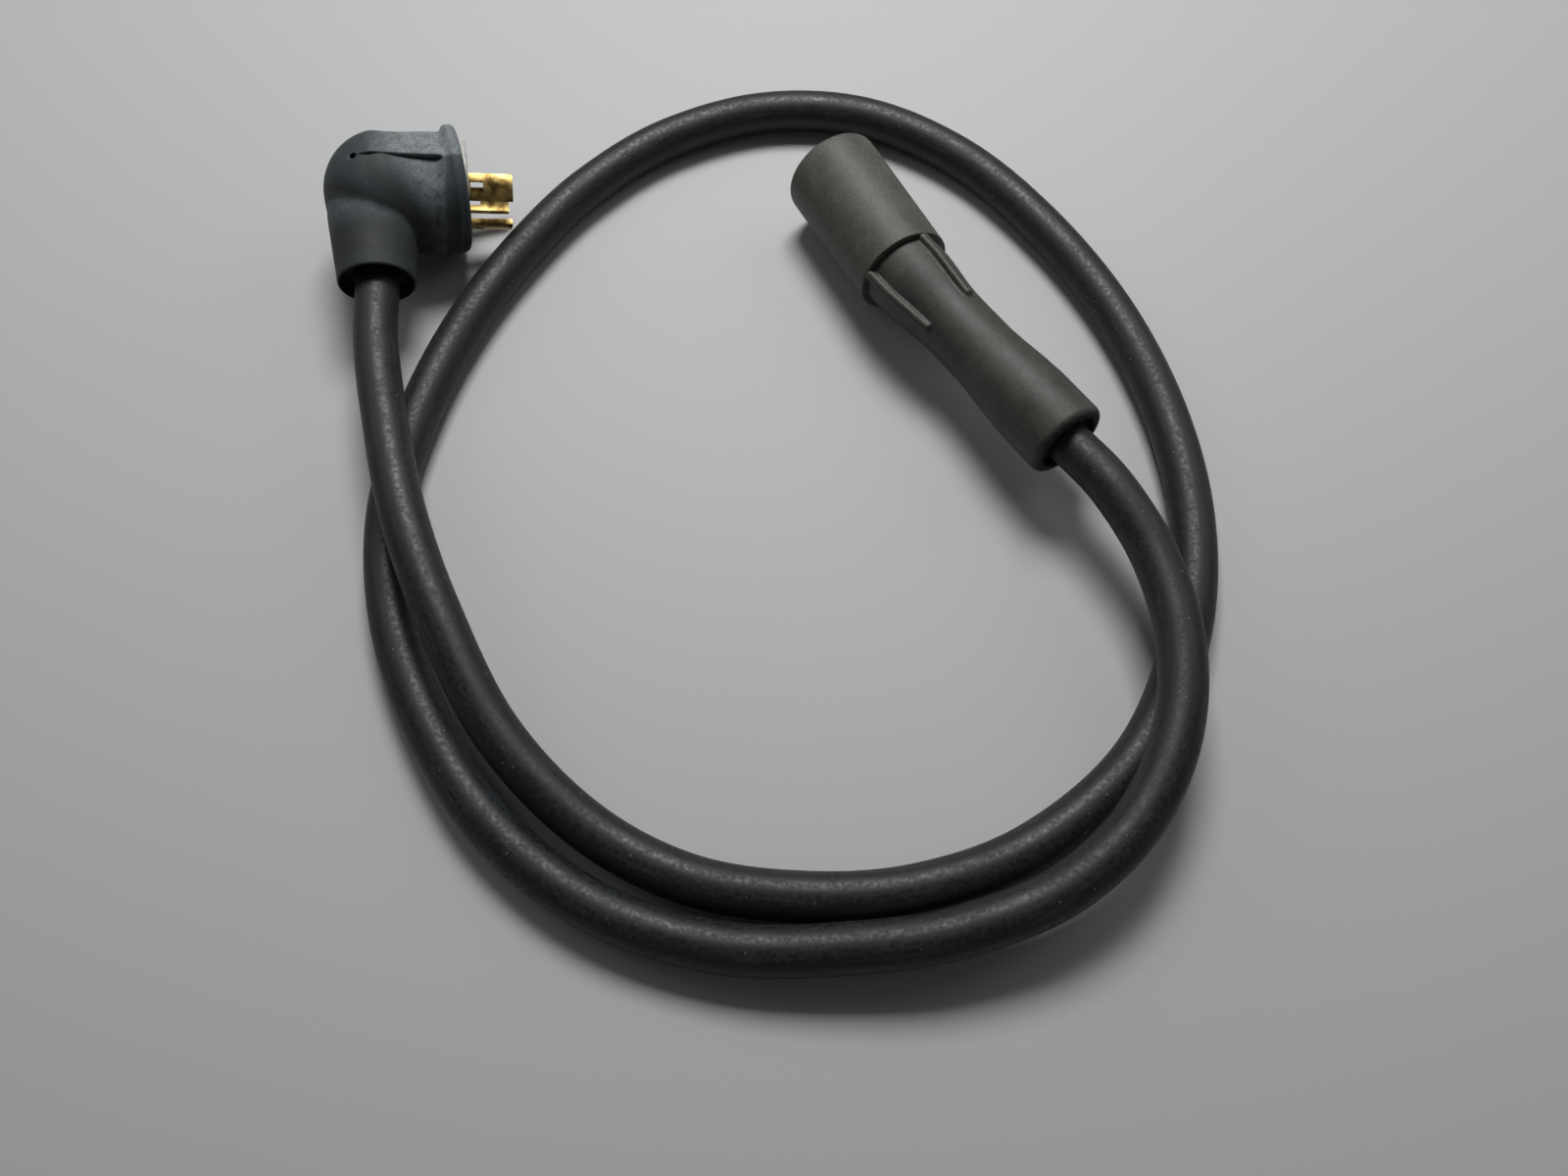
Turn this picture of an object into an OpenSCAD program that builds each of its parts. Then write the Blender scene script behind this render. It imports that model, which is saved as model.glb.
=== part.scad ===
// Short heavy rubber lead with a right-angle locking plug on one end and a
// straight in-line locking connector on the other. Millimetres, +Z up, lying
// on z = 0. Every node is one piece. The plug and the connector are drawn in
// frames of their own, with +X out of the face that mates.

/* [Cable] */
// Outer diameter of the rubber jacket
cable_d = 9.2; // [8:0.1:10]
// Outer diameter of each insulated core
core_d = 3; // [2.4:0.1:3.2]
// Diameter of the bare copper strands of a core
strand_d = 1.8; // [1.2:0.1:1.8]
// Length of jacket held inside each moulding
grip_len = 12; // [10:0.5:13]

/* [Plug] */
// Diameter of the flange round the plug face
flange_d = 27.4; // [27:0.2:28]
// How far the flange is set off the barrel axis, away from the cable
flange_shift = 1.2; // [0.6:0.1:1.4]
// Thickness of the flange
flange_t = 2.6; // [2.2:0.1:3]
// Lean of the soft flange on the cable side, in degrees
flange_lean = 7; // [0:0.5:8]
// Diameter of the barrel behind the flange
barrel_d = 25.4; // [25:0.2:26]
// Diameter of the barrel where the dome begins
barrel_rear_d = 27.4; // [26.6:0.2:28]
// Depth of the two finger grips at their deep front end
grip_depth = 1.6; // [0.6:0.1:1.7]
// Diameter of the cable boss where it leaves the barrel
boss_d = 19.2; // [18.8:0.2:19.8]
// Diameter of the cable boss at its open end
boss_end_d = 16.4; // [15:0.2:17]
// Length of the cable boss from the barrel axis
boss_len = 23.6; // [23:0.2:25]
// Diameter of the hard insert in the plug face
insert_d = 22.6; // [21:0.2:23.4]

/* [Blades] */
// Length of the blades in front of the flange
blade_len = 11.2; // [9.4:0.2:11.6]
// Thickness of the blades
blade_t = 1.3; // [1:0.1:1.5]
// Arc that each blade takes on its circle, in degrees
blade_arc = 46; // [40:2:60]
// Diameter of the circle through the middle of the blades
blade_circle = 14; // [13.4:0.1:14.2]
// Length of the locking slot at the root of a blade
slot_len = 2.8; // [2:0.1:3.2]
// Width of the locking slot
slot_w = 2.4; // [1.6:0.1:3]

/* [Connector] */
// Diameter of the nose at its front
nose_d = 22; // [21.4:0.2:23]
// Length of the nose
nose_len = 33.5; // [32:0.5:35]
// Diameter of the boot where it meets the nose
boot_d = 18; // [17.4:0.2:18.8]
// Diameter of the boot at its waist
waist_d = 15.2; // [14.6:0.2:16]
// Diameter of the boot near its rear end
boot_end_d = 17.4; // [16.4:0.2:18]
// Length of the boot behind the nose
boot_len = 55; // [52:0.5:57]
// Length of the four ribs on the boot
rib_len = 18; // [14:0.5:20]
// Width of a rib
rib_w = 2; // [1.4:0.1:2.6]
// Height of a rib's crest over the boot at its front
rib_h = 1.5; // [0.8:0.1:1.6]

/* [Hidden] */
$fn = 96;
// running clearance between pieces that slide into each other
gap = 0.1;
// the lay is drawn round the middle of the loop and then moved
// so that the plug and connector stand over the origin
shift = [-18.6, 65.7, 0];

// where the plug lies and how it is turned
plug_turn = [8, 13, 10];
plug_at = [-73.1, 94.3, flange_d / 2 * cos(13) - 0.13];
// where the nose lies, and the boot bends away from it by a few degrees
nose_turn = [0, 3, 117];
nose_at = [11, 102.5, nose_d / 2 * cos(3)];
boot_turn = [0, 2.7, 124.5];

// plug: distances back from the flange face
insert_out = 1.6;
flange_x = 0.6;
slot_from = 2.1;
insert_seat = 1.8;
insert_back = 6;
boss_x = -18.7;
dome_x = -15.2;
// the barrel widens towards the cable side only, so its axis leans as well
barrel_lean = atan((barrel_rear_d - barrel_d) / 2 / -dome_x);
chamber_r = 8.6;
neck_r = min(4.3, cable_d / 2 - 0.4);
// blades stand a quarter turn apart, measured from +Z towards -Y
line_at = 24;
ground_at = 114;
neutral_at = 204;
// seen from the front, the socket is the plug's mirror image
socket_line_at = 204;
socket_ground_at = 114;
socket_neutral_at = 24;
blade_r = blade_circle / 2;
// the crimp barrels stand a little inside the blade circle
crimp_r = 6.2;
crimp_wall = 0.7;
crimp_len = 6;

// where the cores stand at the jacket's ends, off its axis
plug_core_ends = [[0, 1.9], [-1.65, -0.95], [1.65, -0.95]];
socket_core_ends = [[1.27, -1.41], [0.59, 1.81], [-1.86, -0.4]];

// connector: distances back from the nose face
plate_front = 0.8;
plate_t = 3;
carrier_back = 15;
carrier_r = 9;
spigot_len = 6.5;
spigot_r = 8.2;
boot_bore_r = min(4.3, cable_d / 2 - 0.4);
rib_turn = 24.5;
socket_crimp_len = 6;

// route of the cable from plug to connector: x and y in millimetres, and
// the lift off the surface in cable diameters
route = [
  [-86, 52.5, 0.98],
  [-81.5, 34, 1.03],
  [-75, 12, 1.04],
  [-66, -9, 0.88],
  [-54, -30.5, 0.45],
  [-37.5, -47, 0.08],
  [-18.5, -57.2, 0],
  [2, -60.7, 0],
  [24, -59.4, 0],
  [46, -51.5, 0],
  [66.5, -34.5, 0],
  [79, -10, 0],
  [83.5, 15, 0],
  [81.5, 41, 0],
  [73.5, 67.5, 0],
  [60, 92, 0],
  [42, 113, 0],
  [19.5, 126, 0],
  [-5, 127.6, 0],
  [-28, 119, 0],
  [-45.5, 104.5, 0],
  [-57.8, 88.3, 0],
  [-69, 68, 0],
  [-77, 45, 0],
  [-81, 20, 0],
  [-78, -3.5, 0],
  [-69.5, -25, 0],
  [-55, -46.5, 0],
  [-35, -62, 0],
  [-10.5, -69.8, 0.06],
  [16, -69.8, 0.3],
  [33, -67, 0.47],
  [49.5, -60.5, 0.66],
  [62.7, -49.2, 0.85],
  [71.3, -33.5, 1.01],
  [74.2, -15.5, 1.09],
  [71.5, 2, 1.13]
];

function unit(v) = v / norm(v);
function spin_x(p, a) = [p[0], p[1] * cos(a) - p[2] * sin(a), p[1] * sin(a) + p[2] * cos(a)];
function spin_y(p, a) = [p[0] * cos(a) + p[2] * sin(a), p[1], p[2] * cos(a) - p[0] * sin(a)];
function spin_z(p, a) = [p[0] * cos(a) - p[1] * sin(a), p[0] * sin(a) + p[1] * cos(a), p[2]];
function turn(p, a) = spin_z(spin_y(spin_x(p, a[0]), a[1]), a[2]);
function from_plug(p) = plug_at - shift + turn(p, plug_turn);
function from_nose(p) = nose_at - shift + turn(p, nose_turn);
function from_boot(p) = from_nose([-nose_len, 0, 0]) + turn(p, boot_turn);

// a smooth line through all the points p, k places between two of them
function at(p, i) = i < 0 ? 2 * p[0] - p[1] : i >= len(p) ? 2 * p[len(p) - 1] - p[len(p) - 2] : p[i];
function blend(a, b, c, d, t) =
  0.5 * (2 * b + (c - a) * t + (2 * a - 5 * b + 4 * c - d) * t * t + (3 * b - a - 3 * c + d) * t * t * t);
function slope(a, b, c, d, t) =
  0.5 * ((c - a) + 2 * (2 * a - 5 * b + 4 * c - d) * t + 3 * (3 * b - a - 3 * c + d) * t * t);
function stations(p, k) = [for (i = [0:1:(len(p) - 1) * k]) min(i, (len(p) - 1) * k - 0.0001) / k];
function point_on(p, s) =
  let (i = floor(s))
  blend(at(p, i - 1), at(p, i), at(p, i + 1), at(p, i + 2), s - i);
function heading(p, s) =
  let (i = floor(s))
  unit(slope(at(p, i - 1), at(p, i), at(p, i + 1), at(p, i + 2), s - i));
function ring(c, t, r, n) =
  let (side = unit(cross(t, [0, 0, 1])), top = cross(side, t))
  [for (i = [0:n - 1]) c + r * (side * cos(360 * i / n) + top * sin(360 * i / n))];
function path_length(p) =
  let (steps = [for (i = [1:len(p) - 1]) norm(p[i] - p[i - 1])])
  steps * [for (i = steps) 1];

// a round tube of n sides swept along the smooth line
module tube(p, d, n, k) {
  s = stations(p, k);
  m = len(s);
  points = [for (u = s) each ring(point_on(p, u), heading(p, u), d / 2, n)];
  walls = [for (j = [0:m - 2], i = [0:n - 1]) each [
    [j * n + i, j * n + (i + 1) % n, (j + 1) * n + i],
    [j * n + (i + 1) % n, (j + 1) * n + (i + 1) % n, (j + 1) * n + i]
  ]];
  caps = [for (i = [1:n - 2]) each [
    [0, i + 1, i],
    [(m - 1) * n, (m - 1) * n + i, (m - 1) * n + i + 1]
  ]];
  polyhedron(points, concat(walls, caps), convexity = 10);
}

cable_path = concat(
  [
    from_plug([boss_x, grip_len - boss_len, 0]),
    from_plug([boss_x, -boss_len, 0])
  ],
  [for (p = route) [p[0], p[1], cable_d * (0.5 + p[2])] - shift],
  [
    from_boot([-boot_len - 13, 0, 0]),
    from_boot([-boot_len, 0, 0]),
    from_boot([grip_len - boot_len, 0, 0])
  ]
);
echo(cable_length = path_length([for (u = stations(cable_path, 8)) point_on(cable_path, u)]));

module at_plug() {
  translate(plug_at - shift) rotate(plug_turn) children();
}
module at_nose() {
  translate(nose_at - shift) rotate(nose_turn) children();
}
module at_boot() {
  translate(from_nose([-nose_len, 0, 0])) rotate(boot_turn) children();
}
// turns a profile drawn as radius and height about the frame's X axis
module turned() {
  rotate([0, 90, 0]) rotate_extrude() children();
}
// part of a ring about X, centred on the angle a from +Z towards -Y
module arc_block(r0, r1, x0, x1, a, arc) {
  rotate([0, 90, 0])
    rotate([0, 0, 180 + a - arc / 2])
      rotate_extrude(angle = arc)
        translate([r0, x0])
          square([r1 - r0, x1 - x0]);
}
// a rod along X at the angle a and the radius r
module rod(a, r, x0, x1, d) {
  rotate([a, 0, 0])
    translate([x0, 0, r])
      rotate([0, 90, 0])
        cylinder(h = x1 - x0, d = d, $fn = 48);
}

// a drum about X of the radius r
module drum(x0, x1, r) {
  translate([x0, 0, 0])
    rotate([0, 90, 0])
      cylinder(h = x1 - x0, r = r);
}

module flange_profile() {
  difference() {
    union() {
      translate([0, -flange_t]) square([flange_d / 2 - 0.9, flange_t]);
      translate([0, 0.9 - flange_t]) square([flange_d / 2, flange_t - 1.8]);
      translate([flange_d / 2 - 0.9, -0.9]) circle(0.9);
      translate([flange_d / 2 - 0.9, 0.9 - flange_t]) circle(0.9);
    }
    translate([-1, -10]) square([8, 20]);
  }
}
// a cone that widens to the rear and ends in a ball, with a shallow waist
module barrel_profile() {
  r = barrel_rear_d / 2;
  difference() {
    union() {
      polygon([
        [0, dome_x],
        [r * cos(barrel_lean), dome_x + r * sin(barrel_lean)],
        [barrel_d / 2, -1.3],
        [0, -1.3]
      ]);
      translate([0, dome_x]) circle(r);
    }
    translate([(r + barrel_d / 2) / 2 + 59.8, -10]) circle(60, $fn = 360);
    translate([-40, -60]) square([40, 80]);
  }
}
module barrel() {
  translate([0, 0.2, 0]) rotate([0, 0, barrel_lean]) turned() barrel_profile();
}
// what stands out of a second barrel that is sunk into the first at the front
module grip_cut() {
  difference() {
    translate([0, 0.3, 0])
      rotate([90, 0, 0])
        linear_extrude(height = 14)
          polygon([[-22, 4], [-4.6, 4], [-4.6, 10.4], [-2.9, 14.4], [-2.9, 18], [-22, 18]]);
    translate([-20, -0.45, -0.1])
      rotate([0, asin(grip_depth / 16.6), 0])
        translate([20, 0, 0])
          barrel();
  }
}
module plug_body() {
  color("dimgray") at_plug() difference() {
    union() {
      difference() {
        barrel();
        grip_cut();
        mirror([0, 0, 1]) grip_cut();
      }
      rotate([0, 0, flange_lean]) translate([flange_x, flange_shift, 0]) turned() flange_profile();
      translate([boss_x, 0, 0]) rotate([90, 0, 0]) rotate_extrude() boss_profile();
    }
    drum(-insert_seat, 10, insert_d / 2 + gap);
    drum(-insert_back, 10, 9.4 + gap);
    drum(-22, -2, chamber_r);
    translate([boss_x, 0, 0]) rotate([90, 0, 0]) cylinder(h = boss_len, r = neck_r);
    translate([boss_x, grip_len - boss_len, 0])
      rotate([90, 0, 0])
        cylinder(h = 30, d = cable_d + 0.3);
    // the mouth that the cable leaves from
    translate([boss_x, 3 - boss_len, 0]) rotate([90, 0, 0]) cylinder(h = 10, r = boss_end_d / 2 - 1.2);
    // a pit at the end of each grip's edge
    for (s = [-1, 1]) translate([-22, 0.3, s * 11.6]) cylinder(h = 3, d = 1.3, center = true, $fn = 24);
  }
}
module boss_profile() {
  difference() {
    union() {
      polygon([
        [0, -2],
        [boss_d / 2, -2],
        [boss_d / 2, 8],
        [boss_end_d / 2, boss_len - 0.8],
        [boss_end_d / 2 - 0.8, boss_len - 0.8],
        [boss_end_d / 2 - 0.8, boss_len],
        [0, boss_len]
      ]);
      translate([boss_end_d / 2 - 0.8, boss_len - 0.8]) circle(0.8, $fn = 48);
    }
    translate([-8, -8]) square([8, boss_len + 20]);
  }
}
module plug_face_insert() {
  color("lightgray") at_plug() difference() {
    turned() polygon([
      [0, -insert_back],
      [9.4, -insert_back],
      [9.4, -insert_seat],
      [insert_d / 2, -insert_seat],
      [insert_d / 2, insert_out - 0.4],
      [insert_d / 2 - 0.4, insert_out],
      [0, insert_out]
    ]);
    for (a = [line_at, ground_at, neutral_at])
      arc_block(blade_r - blade_t / 2 - gap, blade_r + blade_t / 2 + gap, -10, 10, a, blade_arc + 2);
  }
}
// a curved blade with its locking slot, and the crimp barrel behind it
module blade(a) {
  color("goldenrod") at_plug() difference() {
    union() {
      arc_block(blade_r - blade_t / 2, blade_r + blade_t / 2, -insert_back - 1, blade_len, a, blade_arc);
      rod(a, crimp_r, -insert_back - crimp_len, -insert_back, strand_d + 2 * crimp_wall);
    }
    rod(a, crimp_r, -insert_back - crimp_len - 1, -insert_back - 1, strand_d + gap);
    rotate([a, 0, 0])
      translate([slot_from, -slot_w / 2, 3])
        cube([slot_len, slot_w, 8]);
  }
}
module plug_strands(a) {
  color("peru") at_plug() rod(a, crimp_r, -insert_back - crimp_len - 0.4, -insert_back - 1.4, strand_d);
}
// an insulated core from a crimp barrel to the end of the jacket
module plug_core(a, name, e) {
  x0 = -insert_back - crimp_len - 0.4;
  y0 = -crimp_r * sin(a);
  z0 = crimp_r * cos(a);
  end_y = grip_len - boss_len;
  color(name) tube([for (p = [
    [x0, y0, z0],
    [x0 - 2.8 + e[0] * 0.6, y0, z0],
    [boss_x + e[0] + 0.9, y0 * 0.7 + (end_y + 3.5) * 0.3, (z0 + e[1]) / 2],
    [boss_x + e[0], end_y + 3.5, e[1]],
    [boss_x + e[0], end_y, e[1]]
  ]) from_plug(p)], core_d, 8, 3);
}

module cable_jacket() {
  color("#2b2f36") tube(cable_path, cable_d, 12, 2);
}

module nose_profile() {
  polygon([
    [spigot_r + gap, -nose_len],
    [nose_d / 2 - 0.5, -nose_len],
    [nose_d / 2, -4],
    [nose_d / 2, -1.2],
    [nose_d / 2 - 0.35, -0.35],
    [nose_d / 2 - 1.2, 0],
    [carrier_r + gap, 0],
    [carrier_r + gap, -carrier_back],
    [spigot_r + gap, -carrier_back]
  ]);
}
module connector_nose() {
  color("darkkhaki") at_nose() turned() nose_profile();
}
// the ribbed boot, with the spigot that the nose is bonded to
module connector_boot() {
  color("olivedrab") difference() {
    union() {
      at_nose() drum(-nose_len - 1, spigot_len - nose_len, spigot_r);
      difference() {
        at_boot() union() {
          turned() boot_profile();
          for (k = [0:3]) rotate([rib_turn + 90 * k, 0, 0]) rib();
        }
        at_nose() drum(-nose_len, 20 - nose_len, 20);
      }
    }
    at_boot() {
      drum(-boot_len - 1, 4, boot_bore_r);
      drum(-boot_len - 1, grip_len - boot_len, cable_d / 2 + 0.15);
      drum(-boot_len - 1, 2 - boot_len, boot_end_d / 2 - 1.4);
    }
    at_nose() translate([-nose_len - 3, 0, 0])
      rotate([0, 90, 0])
        cylinder(h = spigot_len + 4, r1 = boot_bore_r + 0.2, r2 = spigot_r - 1.2);
  }
}
module boot_profile() {
  difference() {
    union() {
      polygon([
        [0, 2],
        [boot_d / 2, 2],
        [boot_d / 2, -5],
        [boot_d / 2 - 0.35, -8],
        [waist_d / 2 + 0.35, -13],
        [waist_d / 2 + 0.08, -16],
        [waist_d / 2, -20],
        [waist_d / 2, -28],
        [waist_d / 2 + 0.25, -32],
        [boot_end_d / 2 - 0.3, -38],
        [boot_end_d / 2, -43],
        [boot_end_d / 2, -boot_len + 1],
        [boot_end_d / 2 - 1, -boot_len + 1],
        [boot_end_d / 2 - 1, -boot_len],
        [0, -boot_len]
      ]);
      translate([boot_end_d / 2 - 1, 1 - boot_len]) circle(1, $fn = 48);
    }
    translate([-8, -70]) square([8, 90]);
  }
}
// one rib, falling a little towards its squared end
module rib() {
  rotate([90, 0, 0])
    translate([0, 0, -rib_w / 2])
      linear_extrude(height = rib_w)
        polygon([
          [2, waist_d / 2 - 1],
          [2, boot_d / 2 + rib_h],
          [-6, boot_d / 2 + rib_h - 0.2],
          [-12, waist_d / 2 + rib_h + 0.3],
          [0.7 - rib_len, waist_d / 2 + rib_h - 0.4],
          [-rib_len, waist_d / 2 + rib_h - 0.9],
          [-rib_len, waist_d / 2 - 1]
        ]);
}
module socket_face_plate() {
  color("gray") at_nose() difference() {
    drum(-plate_front - plate_t, -plate_front, carrier_r);
    for (a = [socket_line_at, socket_ground_at, socket_neutral_at])
      arc_block(blade_r - blade_t / 2 - 0.3, blade_r + blade_t / 2 + 0.3, -10, 1, a, blade_arc + 6);
  }
}
// the block behind the face plate, with a pocket for each contact
module contact_carrier() {
  color("gray") at_nose() difference() {
    drum(-carrier_back, -plate_front - plate_t, carrier_r);
    for (a = [socket_line_at, socket_ground_at, socket_neutral_at]) {
      arc_block(5.2, 8.5, 2.4 - carrier_back, 1, a, 78);
      rod(a, crimp_r, -carrier_back - 1, 4 - carrier_back, strand_d + 2 * crimp_wall + 2 * gap);
    }
  }
}
// two curved leaves on a web, and the crimp barrel behind them
module contact(a) {
  x0 = 2.4 - carrier_back;
  x1 = -plate_front - plate_t - 0.5;
  color("goldenrod") at_nose() difference() {
    union() {
      arc_block(5.4, 5.9, x0, x1, a, 68);
      arc_block(7.9, 8.4, x0, x1, a, 68);
      arc_block(5.4, 8.4, x0, x0 + 0.8, a, 68);
      rod(a, crimp_r, -carrier_back - socket_crimp_len, x0 + 0.4, strand_d + 2 * crimp_wall);
    }
    rod(a, crimp_r, -carrier_back - socket_crimp_len - 1, x0 - 0.4, strand_d + gap);
  }
}
module socket_strands(a) {
  color("peru") at_nose()
    rod(a, crimp_r, -carrier_back - socket_crimp_len - 0.4, 1.4 - carrier_back, strand_d);
}
// an insulated core from a contact to the end of the jacket
module socket_core(a, name, e) {
  x0 = -carrier_back - socket_crimp_len - 0.4;
  y0 = -crimp_r * sin(a);
  z0 = crimp_r * cos(a);
  color(name) tube([
    from_nose([x0, y0, z0]),
    from_nose([x0 - 2, y0 * 0.92, z0 * 0.92]),
    from_nose([-nose_len + 4.5, y0 * 0.42, z0 * 0.42]),
    from_boot([-8, e[0], e[1]]),
    from_boot([(grip_len - boot_len) / 2, e[0], e[1]]),
    from_boot([grip_len - boot_len, e[0], e[1]])
  ], core_d, 8, 2);
}

plug_body();
plug_face_insert();
blade(line_at);  // line_blade
blade(neutral_at);  // neutral_blade
blade(ground_at);  // ground_blade
plug_core(line_at, "black", plug_core_ends[0]);  // plug_line_core
plug_core(neutral_at, "white", plug_core_ends[1]);  // plug_neutral_core
plug_core(ground_at, "green", plug_core_ends[2]);  // plug_ground_core
plug_strands(line_at);  // plug_line_strands
plug_strands(neutral_at);  // plug_neutral_strands
plug_strands(ground_at);  // plug_ground_strands
cable_jacket();
connector_nose();
connector_boot();
socket_face_plate();
contact_carrier();
contact(socket_line_at);  // line_contact
contact(socket_neutral_at);  // neutral_contact
contact(socket_ground_at);  // ground_contact
socket_core(socket_line_at, "black", socket_core_ends[0]);  // socket_line_core
socket_core(socket_neutral_at, "white", socket_core_ends[1]);  // socket_neutral_core
socket_core(socket_ground_at, "green", socket_core_ends[2]);  // socket_ground_core
socket_strands(socket_line_at);  // socket_line_strands
socket_strands(socket_neutral_at);  // socket_neutral_strands
socket_strands(socket_ground_at);  // socket_ground_strands
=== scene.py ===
"""Short rubber lead with a right-angle locking plug and an in-line locking connector.

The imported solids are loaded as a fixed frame, the soft and moulded pieces are worked
out here as surfaces in the same frame, and every piece gets its finish.
"""

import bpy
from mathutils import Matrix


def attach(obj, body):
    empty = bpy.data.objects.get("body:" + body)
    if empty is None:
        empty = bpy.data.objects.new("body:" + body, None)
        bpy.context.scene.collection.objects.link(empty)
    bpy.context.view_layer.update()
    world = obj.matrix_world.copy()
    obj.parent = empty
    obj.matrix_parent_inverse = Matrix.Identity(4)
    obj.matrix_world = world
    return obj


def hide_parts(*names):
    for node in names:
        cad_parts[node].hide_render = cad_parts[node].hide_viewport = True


bl_info = {
    "name": "Locking extension lead",
    "version": (1, 0, 0),
    "blender": (4, 5, 0),
    "location": "View3D > Sidebar > Lead",
    "description": "Builds a short rubber lead, its plug and its connector round a packed frame",
    "category": "Object",
}

import bpy
import numpy as np
from mathutils import Vector

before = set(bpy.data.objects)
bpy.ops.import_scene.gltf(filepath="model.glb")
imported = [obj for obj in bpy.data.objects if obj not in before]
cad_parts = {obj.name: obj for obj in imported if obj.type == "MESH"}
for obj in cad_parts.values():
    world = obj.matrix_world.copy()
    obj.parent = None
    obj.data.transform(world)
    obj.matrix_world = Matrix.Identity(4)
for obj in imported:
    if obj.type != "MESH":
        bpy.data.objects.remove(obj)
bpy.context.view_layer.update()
BODY = "root"
MM = 0.001

# ---------------------------------------------------------------- sizes, in millimetres

# cable
CABLE_D = 9.2
CORE_D = 3.0
GRIP_LEN = 12.0  # jacket held inside each moulding
HELD_R = CABLE_D / 2 + 0.15  # bore that holds the jacket
NECK_R = CABLE_D / 2 - 0.4  # bore behind it, for the cores
GAP = 0.1  # clearance between pieces that slide into each other

# plug, in a frame of its own: +X leaves the face that mates, and the cable leaves to -Y
FLANGE_D = 27.4
FLANGE_T = 2.6
FLANGE_X = 0.6
FLANGE_SHIFT = 1.2  # off the barrel's axis, away from the cable
FLANGE_LEAN = 7.0  # degrees
BARREL_D = 25.4  # behind the flange
BARREL_REAR_D = 27.4  # where the dome begins
BARREL_FRONT = -1.3
BARREL_Y = 0.2
DOME_X = -15.2
WAIST_X = -10.0  # middle of the barrel's hollow flank
WAIST_R = 60.0  # radius that the flank is bent to
WAIST_SINK = 0.2  # how far it sinks under the mean of the two diameters
SCOOP_X = -20.0  # the floor of a finger grip turns down about this place
SCOOP_REACH = 16.6  # from there to the grip's front
SCOOP_DEPTH = 1.6
SCOOP_EDGE = 0.3  # height of the long edge above the grip
SCOOP_FRONT = -4.6
PIT_X = -22.0  # pit at the rear end of that edge
PIT_R = 0.65
CHAMBER_R = 8.6
INSERT_D = 22.6
INSERT_NECK_R = 9.4
INSERT_SEAT = 1.8
INSERT_BACK = 6.0
BOSS_D = 19.2
BOSS_END_D = 16.4
BOSS_X = -18.7
BOSS_LEN = 23.6
BOSS_MOUTH = 3.0

# connector, in frames of its own: +X leaves the face that mates
NOSE_D = 22.0
NOSE_LEN = 33.5
BOOT_D = 18.0  # where it meets the nose
WAIST_D = 15.2
BOOT_END_D = 17.4
BOOT_LEN = 55.0
RIB_LEN = 18.0
RIB_W = 2.0
RIB_H = 1.5
RIB_TURN = 24.5  # degrees
SPIGOT_LEN = 6.5
SPIGOT_R = 8.2
CARRIER_R = 9.0
CARRIER_BACK = 15.0

# cores: name and colour; then for the plug and for the connector, the turn in degrees at
# which the crimp stands on its circle, and the place off the axis at the jacket's end
CRIMP_R = 6.2
CORES = (
    ("line", "#232323", 24, (0, 1.9), 204, (1.27, -1.41)),
    ("neutral", "#c9c7c0", 204, (-1.65, -0.95), 24, (0.59, 1.81)),
    ("ground", "#2f6b45", 114, (1.65, -0.95), 114, (-1.86, -0.4)),
)

# how the surfaces are worked out
LATTICE = 0.32  # spacing of the lattice that a moulding is found on
PLUG_BOX = ((-30, -25, -15.5), (2.5, 16.5, 15.5))
BOOT_BOX = ((-56, -11.5, -11.5), (9, 11.5, 11.5))
SOFT = 0.25  # easing of a bore's edges
RUB_REACH = 0.7  # how far round an edge wear and dirt reach
JACKET_SIDES, JACKET_STEPS = 48, 20  # round the ring, and between two points of its route
CORE_SIDES, CORE_STEPS = 24, 12
NOSE_SIDES = 160

# ---------------------------------------------------------------- where things lie

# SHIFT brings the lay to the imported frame; turns are degrees about X, then Y, then Z
SHIFT = np.array([-18.6, 65.7, 0.0])
PLUG_TURN = (8.0, 13.0, 10.0)
PLUG_AT = np.array([-73.1, 94.3, FLANGE_D / 2 * np.cos(np.radians(13)) - 0.13])
NOSE_TURN = (0.0, 3.0, 117.0)
NOSE_AT = np.array([11.0, 102.5, NOSE_D / 2 * np.cos(np.radians(3))])
BOOT_TURN = (0.0, 2.7, 124.5)

# route of the cable: x and y in millimetres, and its lift in cable diameters
ROUTE = (
    (-86, 52.5, 0.98), (-81.5, 34, 1.03), (-75, 12, 1.04), (-66, -9, 0.88),
    (-54, -30.5, 0.45), (-37.5, -47, 0.08), (-18.5, -57.2, 0), (2, -60.7, 0),
    (24, -59.4, 0), (46, -51.5, 0), (66.5, -34.5, 0), (79, -10, 0), (83.5, 15, 0),
    (81.5, 41, 0), (73.5, 67.5, 0), (60, 92, 0), (42, 113, 0), (19.5, 126, 0),
    (-5, 127.6, 0), (-28, 119, 0), (-45.5, 104.5, 0), (-57.8, 88.3, 0), (-69, 68, 0),
    (-77, 45, 0), (-81, 20, 0), (-78, -3.5, 0), (-69.5, -25, 0), (-55, -46.5, 0),
    (-35, -62, 0), (-10.5, -69.8, 0.06), (16, -69.8, 0.3), (33, -67, 0.47),
    (49.5, -60.5, 0.66), (62.7, -49.2, 0.85), (71.3, -33.5, 1.01), (74.2, -15.5, 1.09),
    (71.5, 2, 1.13),
)
RUN_IN = 13.0  # the cable is straight for this length behind the boot

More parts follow.
